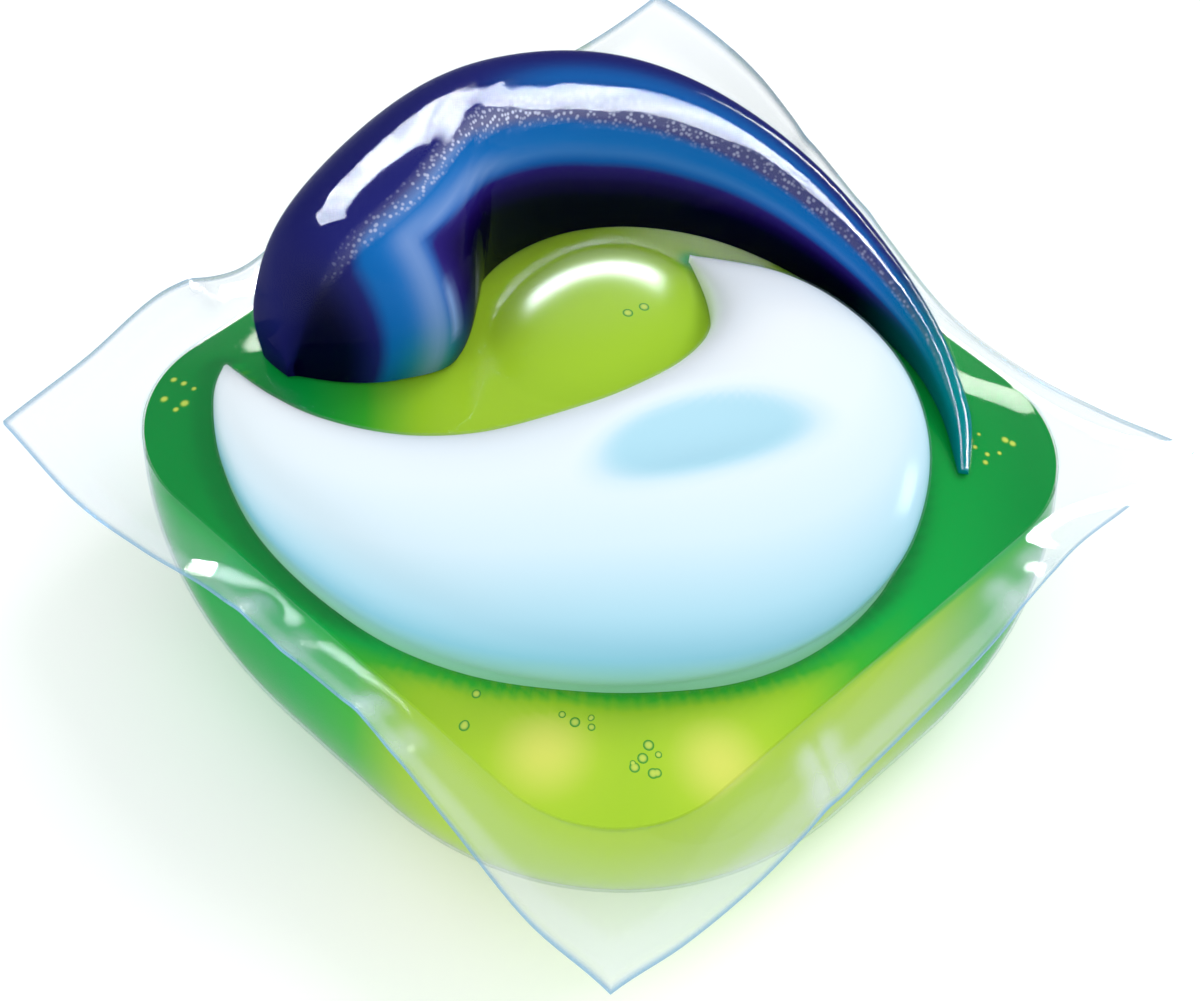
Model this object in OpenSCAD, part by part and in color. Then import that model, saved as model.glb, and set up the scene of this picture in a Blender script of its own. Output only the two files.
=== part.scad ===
// A laundry capsule: three sheets of water-soluble film, sealed together round their
// edges, hold one liquid in a lower pocket and two in upper chambers. The two upper
// chambers lie in a swirl, nose to tail, on top of the pocket.
// Z is up, the capsule rests on its flat foot at Z = 0, and its sides lie along X and Y.
// Seen from above, the corners are right at the back, left at the back, left and right in front.

/* [Lower pocket] */
// Width of the lower pocket at the seal, along X and along Y
pocket_w = 40; // [36:0.5:44]
// Corner radius of the pocket at the seal
pocket_r = 7.5; // [6:0.5:10]
// Depth of the liquid in the pocket, below the seal
pocket_d = 13.4; // [11:0.2:17]
// Width of the flat foot that the pocket rests on
foot_w = 21; // [16:0.5:26]
// How far the filled pocket bulges out beyond a plain bowl
belly = 2.3; // [0.5:0.1:2.8]
// How far the liquid has sagged towards the right-hand back corner, along X and along Y
sag = 0.8; // [0:0.1:1.5]
// Rise of the middle film above the seal, at the centre
web_h = 2.8; // [1:0.2:4]

/* [Film] */
// Thickness of each sheet of film
film_t = 0.1; // [0.06:0.01:0.16]
// Width of the sealed flange outside the pocket, halfway along a side
flange_w = 3.2; // [2.4:0.2:5]

/* [Flange drape] */
// Scale of the waves in the flange's edge, where 1 is as drawn
wave = 1; // [0.4:0.1:1.2]
// How far the raised back corner of the flange is drawn in along X
corner_pull = 4.5; // [0:0.5:5]

/* [Upper chambers] */
// Gap between the pocket's rim and the swirl of upper chambers
swirl_gap = 0.5; // [0.3:0.1:1.5]
// Height of the blue chamber's crest above the middle film
blue_h = 12.6; // [8:0.2:13.4]
// Height of the white chamber above the middle film
white_h = 6.2; // [4:0.2:9]
// Distance of the blue chamber's crest from its outer edge, where it is wide
blue_crest = 6; // [4.5:0.25:7]
// Distance of the white chamber's crest from its inner edge, where it is wide
white_crest = 7.5; // [5:0.25:9]
// How far the blue chamber's walls overhang their own base, as an angle
blue_tuck = 35; // [10:1:40]
// How far the white chamber's walls overhang their own base, as an angle
white_tuck = 20; // [5:1:30]
// Squareness of the blue chamber's section, where 2 is an ellipse
blue_square = 2.1; // [2:0.1:3]
// Squareness of the white chamber's section, where 2 is an ellipse
white_square = 2.3; // [2:0.1:3]

/* [Hidden] */

// Counts of facets along each form.
arc_steps = 6;      // steps round each corner of the pocket
side_steps = 6;     // steps along each side of the pocket
belly_steps = 9;    // rings from the seal down to the foot
station_steps = 26; // ribs along each upper chamber
section_steps = 10; // steps over each rib

half_w = pocket_w / 2;
flange_half = half_w + flange_w;
seal_z = pocket_d + film_t; // height of the lower film's upper face at the seal
roundest = 0.93;            // corner radius of the belly at its roundest, as a share of its half width
rounding = 0.67;            // how much the belly's corners gain in radius, as a share of half the pocket's width
flank = 0.35;               // how steep the belly's sides stay, where less is steeper
web_power = 2.6;            // how late the middle film falls to the seal
web_rings = [0.2, 0.45, 0.7, 0.88, 1];
flange_rings = [1 / 3, 2 / 3, 1];
droop_power = 1.4;          // how late the flange leaves the plane of the seal

function turn(p, a) = [p[0] * cos(a) - p[1] * sin(a), p[0] * sin(a) + p[1] * cos(a)];
function unit(v) = v / norm(v);
function backwards(v) = [for (i = [len(v) - 1:-1:0]) v[i]];
function total(v, i = 0) = i == len(v) - 1 ? v[i] : v[i] + total(v, i + 1);
function middle(ring) = total(ring) / len(ring);
function signed_power(x, e) = sign(x) * pow(abs(x), e);

// A smooth curve through values, numbers or points, for t from 0 to 1. A closed one ends where it starts.
function spline(v, t, closed = false) =
    let (last = closed ? len(v) : len(v) - 1, x = t * last, i = min(floor(x), last - 1), f = x - i,
         a = pick(v, i - 1, closed), b = pick(v, i, closed),
         c = pick(v, i + 1, closed), d = pick(v, i + 2, closed))
        b + 0.5 * f * ((c - a) + f * ((2 * a - 5 * b + 4 * c - d) + f * (3 * b - a - 3 * c + d)));
function pick(v, i, closed) =
    let (n = len(v)) closed ? v[(i % n + n) % n] : v[max(0, min(n - 1, i))];

// The pocket's outline at some height: four round corners, and the sides between them.
function pocket_outline(half, r) = [
    for (side = [0:3])
        each concat(
            [for (i = [0:arc_steps])
                turn([half - r + r * cos(90 * i / arc_steps), half - r + r * sin(90 * i / arc_steps)], 90 * side)],
            [for (i = [1:side_steps - 1])
                turn([(half - r) * (1 - 2 * i / side_steps), half], 90 * side)]
        )
];

// The same points spread onto the flange's cut edge, a square with sharp corners.
function flange_outline(half, r) = [
    for (side = [0:3])
        each concat(
            [for (i = [0:arc_steps])
                let (s = 2 * i / arc_steps, reach = half - (half_w - r))
                    turn([half - reach * max(s - 1, 0), half - reach * max(1 - s, 0)], 90 * side)],
            [for (i = [1:side_steps - 1])
                turn([(half_w - r) * (1 - 2 * i / side_steps), half], 90 * side)]
        )
];

// Heights of the flange's edge above the seal, at equal steps along each side. Each side
// starts at its own corner and ends before the next one's.
back_lifts = [0.6, -1.2, -2.4, -2.2, 0.4, 3, 5, 5.8];
left_lifts = [5.8, 4.4, 2.6, 1.8, 0.6, -0.8, 1.4, 0.1];
front_lifts = [-0.7, -2, -0.9, 1, 1.4, 1.5, -0.8, -3.2];
right_lifts = [-3, -5, -5.4, -3.8, -2.8, -1.5, 1.5, 0.9];
edge_lifts = concat(back_lifts, left_lifts, front_lifts, right_lifts);
raised_corner = 0.25; // place of the raised back corner round the edge, as a share of the way
pull_reach = 0.1;     // how far along the edge the drawn-in corner reaches, as a share of the way

// How far round the flange a point lies, from 0 at the right-hand back corner to 1.
function way_round(p) =
    let (side = floor((atan2(p[1], p[0]) - 45 + 360) / 90) % 4, q = turn(p, -90 * side))
        (side + (1 - q[0] / flange_half) / 2) / 4;
function draped(p) =
    let (way = way_round(p), near = max(0, 1 - pow((way - raised_corner) / pull_reach, 2)))
        [p[0] + corner_pull * near * near, p[1], wave * spline(edge_lifts, way, true)];

rim = pocket_outline(half_w, pocket_r);
edge = [for (p = flange_outline(flange_half, pocket_r)) draped(p)];

// Rings of the sheets. A lift of film_t is the next sheet up.
function at_height(ring, z) = [for (p = ring) [p[0], p[1], z]];
function web_z(rho) = seal_z + web_h * (1 - pow(rho, web_power));
function web_ring(rho, lift) = [for (p = rim) [p[0] * rho, p[1] * rho, web_z(rho) + lift]];
function flange_ring(q, lift) = [
    for (i = [0:len(rim) - 1])
        [rim[i][0] + (edge[i][0] - rim[i][0]) * q,
         rim[i][1] + (edge[i][1] - rim[i][1]) * q,
         seal_z + edge[i][2] * pow(q, droop_power) + lift]
];

// A ring of the pocket, from the seal at step 0 to the foot; out is the film round it.
function belly_ring(step, out) =
    let (a = 90 * step / belly_steps,
         half = foot_w / 2 + (half_w - foot_w / 2) * pow(cos(a), flank) + belly * sin(2 * a),
         r = min(pocket_r + rounding * half_w * sin(a), roundest * half),
         shift = sag * sin(a))
        [for (p = pocket_outline(half + out, r + out))
            [p[0] + shift, p[1] + shift, seal_z - (pocket_d + out) * sin(a)]];

// A closed skin through rings of equal counts, with a hub in the middle of the first and last.
// Bands from turn_at on are split along their other diagonal, so that faces that touch match.
module loft(rings, turn_at = 1000) {
    n = len(rings[0]);
    m = len(rings);
    first_hub = n * m;
    last_hub = first_hub + 1;
    polyhedron(
        points = concat([for (ring = rings) each ring], [middle(rings[0]), middle(rings[m - 1])]),
        faces = concat(
            [for (i = [0:n - 1]) [first_hub, i, (i + 1) % n]],
            [for (k = [0:m - 2]) for (i = [0:n - 1])
                let (a = k * n + i, b = k * n + (i + 1) % n, c = a + n, d = b + n)
                    each k < turn_at ? [[a, c, d], [a, d, b]] : [[a, c, b], [c, d, b]]],
            [for (i = [0:n - 1]) [last_hub, (m - 1) * n + (i + 1) % n, (m - 1) * n + i]]
        ),
        convexity = 6
    );
}

// Edges of the two upper chambers, seen from above, as drawn for a swirl of this width.
drawn_w = 41;
swirl_scale = (pocket_w - 2 * swirl_gap) / drawn_w;

blue_outer = [[-14.4, -11.6], [-17.8, -11.2], [-19.2, -8.6], [-20.1, -4.2], [-20.5, 1], [-20, 6], [-18.6, 10.6],
              [-15.8, 14.8], [-11.6, 17.9], [-6.4, 19.8], [-0.8, 20.4], [4.6, 19.8], [9.8, 18.2], [14.1, 15.8],
              [16.8, 12.6]];
blue_inner = [[-14.1, -11.2], [-11.2, -9.6], [-9, -7.5], [-7.5, -4.4], [-9.4, -1.2], [-11.3, 1], [-11.9, 4],
              [-11.2, 7.4], [-9, 11], [-5.4, 14.4], [-1, 16.3], [4, 16.8], [8.6, 16.4], [12.8, 14.6],
              [16.3, 12.1]];
blue_heights = [0.12, 0.68, 0.86, 0.94, 1, 0.98, 0.91, 0.85, 0.78, 0.68, 0.56, 0.41, 0.29, 0.18, 0.06];

white_outer = [[-18, -13.4], [-15.8, -16], [-12.4, -18.4], [-7.8, -20], [-2.2, -20.4], [3.6, -19.7], [9.2, -17.5],
               [14.2, -13.7], [17.8, -8.6], [19.5, -2.8], [19.1, 3.4], [16.4, 8.8], [12.2, 12.6], [7, 14.7],
               [1.4, 14.8], [-5, 12.2]];
white_inner = [[-17.8, -13], [-14.9, -13.9], [-12.1, -14.2], [-9.2, -13.8], [-6.3, -12.5], [-3.9, -10.6],
               [-1.9, -8.2], [-0.4, -5.4], [0.8, -2.2], [1.5, 1.2], [1.7, 3.9], [1.3, 6.2], [0.2, 8.2],
               [-1.4, 9.8], [-3, 10.9], [-4.8, 11.9]];
white_heights = [0.1, 0.45, 0.7, 0.87, 0.97, 1, 1, 1, 1, 0.98, 0.95, 0.88, 0.76, 0.58, 0.38, 0.1];

end_half = 0.25; // half width of a chamber's pointed ends
crest_power = 6; // how suddenly the crest leaves the middle of a rib, as the chamber widens
skirt = 1.5;     // how far a chamber's walls run down before the films trim them

// Height of the middle film's lower face near a point, for a rib to stand on.
function web_under(p) =
    web_z(min(1, pow(pow(abs(p[0] / half_w), 4) + pow(abs(p[1] / half_w), 4), 1 / 4)));

// One rib of a chamber, between its edges at a and b: a skirt, an arch whose feet are tucked in,
// and a skirt. The arch peaks at the crest's distance from a, or halfway where the rib is narrow.
function rib(a, b, h, out, crest, tuck, square) =
    let (centre = (a + b) / 2, across = unit(b - a), half = max(norm(b - a) / 2, end_half),
         near = pow(pow(half, -crest_power) + pow(crest, -crest_power), -1 / crest_power),
         peak = centre + (near - half) * across,
         e = 2 / square, lift = signed_power(sin(tuck), e),
         tall = (h + out) / (1 + lift), foot = web_under(centre),
         arch = [for (i = [0:section_steps])
             let (phi = -tuck + (180 + 2 * tuck) * i / section_steps, swing = signed_power(cos(phi), e),
                  reach = out + (swing > 0 ? near : 2 * half - near))
                 [-reach * swing, foot + tall * (lift + signed_power(sin(phi), e))]])
        [for (p = concat([[arch[0][0], foot - skirt]], arch, [[arch[section_steps][0], foot - skirt]]))
            [peak[0] + across[0] * p[0], peak[1] + across[1] * p[0], p[1]]];

// A chamber's closed form, from its two edges and its heights along them; out is the film round it.
module chamber(first, second, heights, height, out, crest, tuck, square) {
    function heading(t) = unit(spline(first, t) + spline(second, t) - spline(first, t - 0.03) - spline(second, t - 0.03));
    ribs = [for (i = [0:station_steps])
        let (t = (1 - cos(180 * i / station_steps)) / 2,
             beyond = i == 0 ? -out * heading(0.03) : i == station_steps ? out * heading(1) : [0, 0])
            rib(swirl_scale * spline(first, t) + beyond, swirl_scale * spline(second, t) + beyond,
                height * spline(heights, t), out, crest, tuck, square)];
    loft(ribs);
}

module blue_form(out)
    chamber(blue_outer, blue_inner, blue_heights, blue_h, out, blue_crest, blue_tuck, blue_square);
module white_form(out)
    chamber(white_inner, white_outer, white_heights, white_h, out, white_crest, white_tuck, white_square);

// Everything below the upper film, to trim the chambers where they stand on the middle film.
module below_upper_film() {
    loft(concat(
        [at_height(rim, seal_z - 2 * skirt)],
        [for (rho = backwards(web_rings)) web_ring(rho, film_t)]
    ), turn_at = 1);
}

// A whole sheet, from its middle out to the flange's edge and back over its other face.
module sheet(lift) {
    under = concat([for (rho = web_rings) web_ring(rho, lift)], [for (q = flange_rings) flange_ring(q, lift)]);
    over = concat([for (rho = web_rings) web_ring(rho, lift + film_t)],
                  [for (q = flange_rings) flange_ring(q, lift + film_t)]);
    loft(concat(under, backwards(over)), turn_at = len(under));
}

module clear_film() color([0.85, 0.93, 0.97, 0.4]) children();

module lower_film() {
    clear_film()
        loft(concat(
            [for (step = [belly_steps:-1:1]) belly_ring(step, film_t)],
            [at_height(pocket_outline(half_w + film_t, pocket_r + film_t), seal_z - film_t)],
            [for (q = flange_rings) flange_ring(q, -film_t)],
            [for (q = backwards(flange_rings)) flange_ring(q, 0)],
            [for (step = [0:belly_steps]) belly_ring(step, 0)]
        ), turn_at = belly_steps + 1 + len(flange_rings));
}

module green_liquid() {
    color([0.2, 0.65, 0.2])
        loft(concat(
            [for (step = [belly_steps:-1:0]) belly_ring(step, 0)],
            [for (i = [len(web_rings) - 2:-1:0]) web_ring(web_rings[i], 0)]
        ), turn_at = belly_steps);
}

module middle_film() {
    clear_film() sheet(0);
}

module blue_liquid() {
    color([0.1, 0.12, 0.45])
        difference() {
            blue_form(0);
            below_upper_film();
        }
}

module white_liquid() {
    color([0.88, 0.95, 0.98])
        difference() {
            white_form(0);
            below_upper_film();
        }
}

module upper_film() {
    clear_film()
        difference() {
            union() {
                sheet(film_t);
                difference() {
                    union() {
                        blue_form(film_t);
                        white_form(film_t);
                    }
                    below_upper_film();
                }
            }
            blue_form(0);
            white_form(0);
        }
}

lower_film();
green_liquid();
middle_film();
blue_liquid();
white_liquid();
upper_film();
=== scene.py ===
"""A laundry capsule: two gels in a swirl of upper chambers, over a green gel in a clear pocket."""

import logging
import math
from dataclasses import dataclass
from enum import Enum

import bpy
import numpy as np
from bpy.types import Material, Node, NodeSocket, NodeTree, Object
from mathutils import Matrix, Vector


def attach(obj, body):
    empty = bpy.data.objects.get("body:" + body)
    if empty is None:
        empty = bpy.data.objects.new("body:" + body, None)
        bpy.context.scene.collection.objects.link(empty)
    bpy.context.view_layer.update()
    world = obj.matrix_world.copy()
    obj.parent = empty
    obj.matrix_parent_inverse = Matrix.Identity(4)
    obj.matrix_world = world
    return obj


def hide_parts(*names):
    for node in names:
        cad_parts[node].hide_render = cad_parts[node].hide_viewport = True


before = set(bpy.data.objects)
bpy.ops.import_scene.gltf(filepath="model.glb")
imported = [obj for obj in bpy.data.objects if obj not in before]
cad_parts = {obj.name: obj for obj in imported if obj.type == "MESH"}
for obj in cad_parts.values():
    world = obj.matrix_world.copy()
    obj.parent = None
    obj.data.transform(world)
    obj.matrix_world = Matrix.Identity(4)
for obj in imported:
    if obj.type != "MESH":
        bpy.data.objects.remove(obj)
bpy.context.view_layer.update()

MM = 0.001
TURN = 2 * math.pi
SHARP_ANGLE = math.radians(50)
Colour = tuple[float, float, float, float]
Stops = tuple[tuple[float, str], ...]

log = logging.getLogger("capsule")


def linear(hex_colour: str) -> Colour:
    """Turns an sRGB hex colour into a linear one.

    Args:
        hex_colour: Six hex digits after a #.

    Returns:
        Linear red, green and blue, and an alpha of 1.
    """
    shares = [int(hex_colour[i:i + 2], 16) / 255 for i in (1, 3, 5)]
    parts = [s / 12.92 if s <= 0.04045 else ((s + 0.055) / 1.055) ** 2.4 for s in shares]
    return (parts[0], parts[1], parts[2], 1.0)


def signed_power(base: np.ndarray, exponent: float) -> np.ndarray:
    """Raises sizes to a power and keeps their signs."""
    return np.sign(base) * np.abs(base) ** exponent


def smooth(low: float, high: float, value: np.ndarray) -> np.ndarray:
    """Rises gently from 0 at low to 1 at high."""
    t = np.clip((value - low) / (high - low), 0, 1)
    return t * t * (3 - 2 * t)


def hump(value: np.ndarray, middle: float, width: float | np.ndarray) -> np.ndarray:
    """Rises from 0 to 1 at a middle value and falls again."""
    return np.exp(-((value - middle) / width) ** 2)


def plan_gap(points: np.ndarray, line: np.ndarray) -> np.ndarray:
    """Distances in the plan from points to the nearest point of a line."""
    return np.min(np.linalg.norm(points[:, None, :2] - line[None, :, :2], axis=2), axis=1)


def spline(knots: np.ndarray, t: np.ndarray, closed: bool = False) -> np.ndarray:
    """Reads a smooth curve through knots.

    Args:
        knots: Numbers or points that the curve goes through.
        t: Places along the curve, from 0 to 1.
        closed: Whether the curve comes back to its first knot.

    Returns:
        The values of the curve at those places.
    """
    count = len(knots)
    last = count if closed else count - 1
    x = np.asarray(t, float) * last
    i = np.minimum(np.floor(x), last - 1).astype(int)
    f = x - i
    if knots.ndim > 1:
        f = f[..., None]

    def knot(k: np.ndarray) -> np.ndarray:
        """Picks knots by number, past either end too."""
        return knots[k % count] if closed else knots[np.clip(k, 0, count - 1)]

    a, b, c, d = knot(i - 1), knot(i), knot(i + 1), knot(i + 2)
    return b + 0.5 * f * ((c - a) + f * ((2 * a - 5 * b + 4 * c - d) + f * (3 * b - a - 3 * c + d)))


class Skin:
    """A skin of rings with equal counts of points, in millimetres, that becomes one mesh."""

    def __init__(self) -> None:
        """Starts an empty skin."""
        self.points: list[np.ndarray] = []
        self.faces: list[tuple[int, ...]] = []
        self.marks: dict[str, list[np.ndarray]] = {}
        self.count = 0

    def add_rings(self, rings: np.ndarray, marks: dict[str, np.ndarray] | None = None,
                  capped: bool = True, shell: bool = False) -> None:
        """Adds a tube through rings.

        Args:
            rings: Points, as an array of rings by points by three.
            marks: Numbers for each point, by the name that a material reads.
            capped: Whether the first and last rings are closed round a hub.
            shell: Whether each ring goes out over a sheet and back under it. The two ends are then
                closed across the sheet.
        """
        if self.volume(rings) < 0:
            rings = rings[:, ::-1]
            marks = {name: values[:, ::-1] for name, values in (marks or {}).items()}
        steps, around = rings.shape[:2]
        capped = capped and not shell
        start = self.count
        flat = rings.reshape(-1, 3)
        hubs = np.stack([rings[0].mean(axis=0), rings[-1].mean(axis=0)])
        self.points.append(np.concatenate([flat, hubs]) if capped else flat)
        self.count += len(self.points[-1])
        grid = start + np.arange(steps * around).reshape(steps, around)
        if shell:
            for ring, way in ((grid[0].tolist(), 1), (grid[-1].tolist(), -1)):
                self.faces += [(ring[k], ring[k + 1], ring[around - 2 - k], ring[around - 1 - k])[::way]
                               for k in range(around // 2 - 1)]
        after = np.roll(grid, -1, axis=1)
        quads = np.stack([grid[:-1], grid[1:], after[1:], after[:-1]], axis=-1).reshape(-1, 4)
        self.faces += [tuple(quad) for quad in quads.tolist()]
        if capped:
            hub = start + steps * around
            self.faces += [(hub, a, b) for a, b in zip(grid[0].tolist(), after[0].tolist())]
            self.faces += [(hub + 1, b, a) for a, b in zip(grid[-1].tolist(), after[-1].tolist())]
        for name, values in (marks or {}).items():
            ends = [values[0].mean(), values[-1].mean()] if capped else []
            self.marks.setdefault(name, []).append(np.concatenate([values.reshape(-1), ends]))

    def volume(self, rings: np.ndarray) -> float:
        """Measures the volume inside a tube.

        Args:
            rings: Points, as an array of rings by points by three.

        Returns:
            Six times the volume inside, which is negative where the tube is inside out.
        """
        after = np.roll(rings, -1, axis=1)
        a, b, c, d = rings[:-1], rings[1:], after[1:], after[:-1]
        sides = (np.cross(a, b) * c).sum() + (np.cross(a, c) * d).sum()
        ends = [(np.cross(ring, np.roll(ring, -1, axis=0)) * ring.mean(axis=0)).sum()
                for ring in rings[[0, -1]]]
        return float(sides + ends[0] - ends[1])

    def make(self, name: str, material: Material) -> Object:
        """Makes the object, with its outside facing out.

        Args:
            name: Name of the piece.
            material: Finish of the piece.

        Returns:
            The new object, linked to the scene.
        """
        points = np.concatenate(self.points) * MM
        mesh = bpy.data.meshes.new(name)
        mesh.from_pydata(points.tolist(), [], self.faces)
        mesh.update()
        for mark, values in self.marks.items():
            layer = mesh.attributes.new(mark, "FLOAT", "POINT")
            layer.data.foreach_set("value", np.concatenate(values).astype(np.float32))
        mesh.shade_smooth()
        mesh.set_sharp_from_angle(angle=SHARP_ANGLE)
        mesh.materials.append(material)
        piece = bpy.data.objects.new(name, mesh)
        bpy.context.scene.collection.objects.link(piece)
        log.info("made %s with %d faces", name, len(mesh.polygons))
        return piece


def add_node(tree: NodeTree, kind: str, inputs: dict | None = None, stops: Stops = (),
             **settings: str | bool) -> Node:
    """Adds one node with its settings and links.

    Args:
        tree: Node tree that gets the node.
        kind: Blender's name for the type of node, without "ShaderNode".
        inputs: Its inputs, by name or by number: numbers, hex colours, output sockets, or nodes,
            of which the first output is linked.
        stops: Places and hex colours of a colour ramp.
        settings: Attributes of the node.

    Returns:
        The new node.
    """
    node = tree.nodes.new("ShaderNode" + kind)
    for name, setting in settings.items():
        setattr(node, name, setting)
    for key, value in (inputs or {}).items():
        if isinstance(value, Node):
            value = value.outputs[0]
        if isinstance(value, NodeSocket):
            tree.links.new(value, node.inputs[key])
        elif isinstance(value, str):
            node.inputs[key].default_value = linear(value)
        else:
            node.inputs[key].default_value = value
    if stops:
        elements = node.color_ramp.elements
        while len(elements) < len(stops):
            elements.new(0.5)
        for element, (place, _) in zip(elements, stops):
            element.position = place
        for element, (_, colour) in zip(elements, stops):
            element.color = linear(colour)
    return node


def new_material(name: str) -> tuple[Material, NodeTree]:
    """Starts a material with an empty node tree.

    Args:
        name: Name of the material.

    Returns:
        The material and its node tree.
    """
    material = bpy.data.materials.new(name)
    material.use_nodes = True
    material.node_tree.nodes.clear()
    return material, material.node_tree


@dataclass(frozen=True)
class ClearFilm:
    """Polyvinyl alcohol film, cast and then thermoformed: clear and glossy, with a milky haze."""

    name: str = "cast_pva_film"
    haze_colour: str = "#EAF3FF"
    tint: str = "#FDFEFF"
    edge_tint: str = "#7DB8E0"
    haze: float = 0.006
    face_on: float = 0.012
    edge_haze: float = 0.5
    ior: float = 1.4
    roughness: float = 0.05
    slack_roughness: float = 0.16
    mirror_share: float = 0.75
    matt_veil: float = 0.12
    glancing: float = 1.0
    steepness: float = 5.0

    def material(self) -> Material:
        """Builds the film: a clear share, and a share of pale haze and gloss that grows at a glance.

        Returns:
            The new material.
        """
        material, tree = new_material(self.name)
        edge, veil, outer, slack = (add_node(tree, "Attribute", attribute_name=mark).outputs["Fac"]
                                    for mark in ("cut_edge", "veil", "outer_face", "slack"))
        facing = add_node(tree, "LayerWeight", {"Blend": 0.5}).outputs["Facing"]
        steep = add_node(tree, "Math", {0: facing, 1: self.steepness}, operation="POWER")
        mirror = add_node(tree, "Math", {0: steep, 1: self.glancing * (1 - self.face_on), 2: self.face_on},
                          operation="MULTIPLY_ADD")
        milky = add_node(tree, "Math", {0: mirror, 1: self.haze}, operation="ADD")
        haze = add_node(tree, "Math", {0: milky, 1: outer}, operation="MULTIPLY")
        creased = add_node(tree, "Math", {0: veil, 1: haze}, operation="ADD")
        share = add_node(tree, "Math", {0: edge, 1: self.edge_haze, 2: creased},
                         operation="MULTIPLY_ADD", use_clamp=True)
        colour = add_node(tree, "MixRGB", {0: edge, 1: self.haze_colour, 2: self.edge_tint})
        metal = add_node(tree, "MapRange", {"Value": veil, "From Max": self.matt_veil,
                                            "To Min": self.mirror_share, "To Max": 0.0})
        rough = add_node(tree, "Math", {0: slack, 1: self.slack_roughness, 2: self.roughness},
                         operation="MULTIPLY_ADD")
        gloss = add_node(tree, "BsdfPrincipled", {"Base Color": colour, "Metallic": metal,
                                                  "Roughness": rough, "IOR": self.ior})
        clear = add_node(tree, "BsdfTransparent", {"Color": self.tint})
        both = add_node(tree, "MixShader", {0: share, 1: clear, 2: gloss})
        add_node(tree, "OutputMaterial", {"Surface": both})
        return material


@dataclass(frozen=True)
class GreenGel:
    """Clear liquid detergent, dyed green, with light and shade painted into its colour: lime where light
    gathers, deep green shade in the far corners.
    """

    # Painted light and shade: deep green for shade, lime and pale yellow where light gathers.
    stops: Stops = ((0.0, "#008A38"), (0.2, "#00B045"), (0.42, "#3EBB30"), (0.66, "#A8D628"),
                    (0.82, "#BDE036"), (1.0, "#EEF06C"))
    shadow: str = "#74C592"
    roughness: float = 0.12
    ior: float = 1.15
    clearness: float = 0.12

    def material(self) -> Material:
        """Builds the gel: a part-clear body, coloured by painted light and shade, with a green shadow.

        Returns:
            The new material.
        """
        material, tree = new_material("clear_green_detergent")
        # The glow mark holds the painted light and shade of the gel.
        light = add_node(tree, "Attribute", attribute_name="glow").outputs["Fac"]
        body = add_node(tree, "ValToRGB", {0: light}, self.stops)
        gel = add_node(tree, "BsdfPrincipled", {"Base Color": body, "Roughness": self.roughness,
                                                "IOR": self.ior, "Transmission Weight": self.clearness})
        clear = add_node(tree, "BsdfTransparent", {"Color": self.shadow})
        shaded = add_node(tree, "LightPath").outputs["Is Shadow Ray"]
        both = add_node(tree, "MixShader", {0: shaded, 1: gel, 2: clear})
        add_node(tree, "OutputMaterial", {"Surface": both})
        return material


@dataclass(frozen=True)
class AirBubble:
    """Air trapped against the film, with light and shade painted into its colour: a pale middle inside a
    darker rim.
    """

    # Painted light in the middle, painted shade on the rim.
    middle: str = "#C9DC55"
    rim: str = "#3E9A2E"
    roughness: float = 0.08
    ior: float = 1.3

    def material(self) -> Material:
        """Builds the bubble: a painted dark rim stands for the view that its edge bends into the deep of
        the gel.

        Returns:
            The new material.
        """
        material, tree = new_material("air_in_detergent")
        place = add_node(tree, "Attribute", attribute_name="rim").outputs["Fac"]
        colour = add_node(tree, "MixRGB", {0: place, 1: self.middle, 2: self.rim})
        air = add_node(tree, "BsdfPrincipled", {"Base Color": colour, "Roughness": self.roughness,
                                                "IOR": self.ior})
        add_node(tree, "OutputMaterial", {"Surface": air})
        return material


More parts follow.
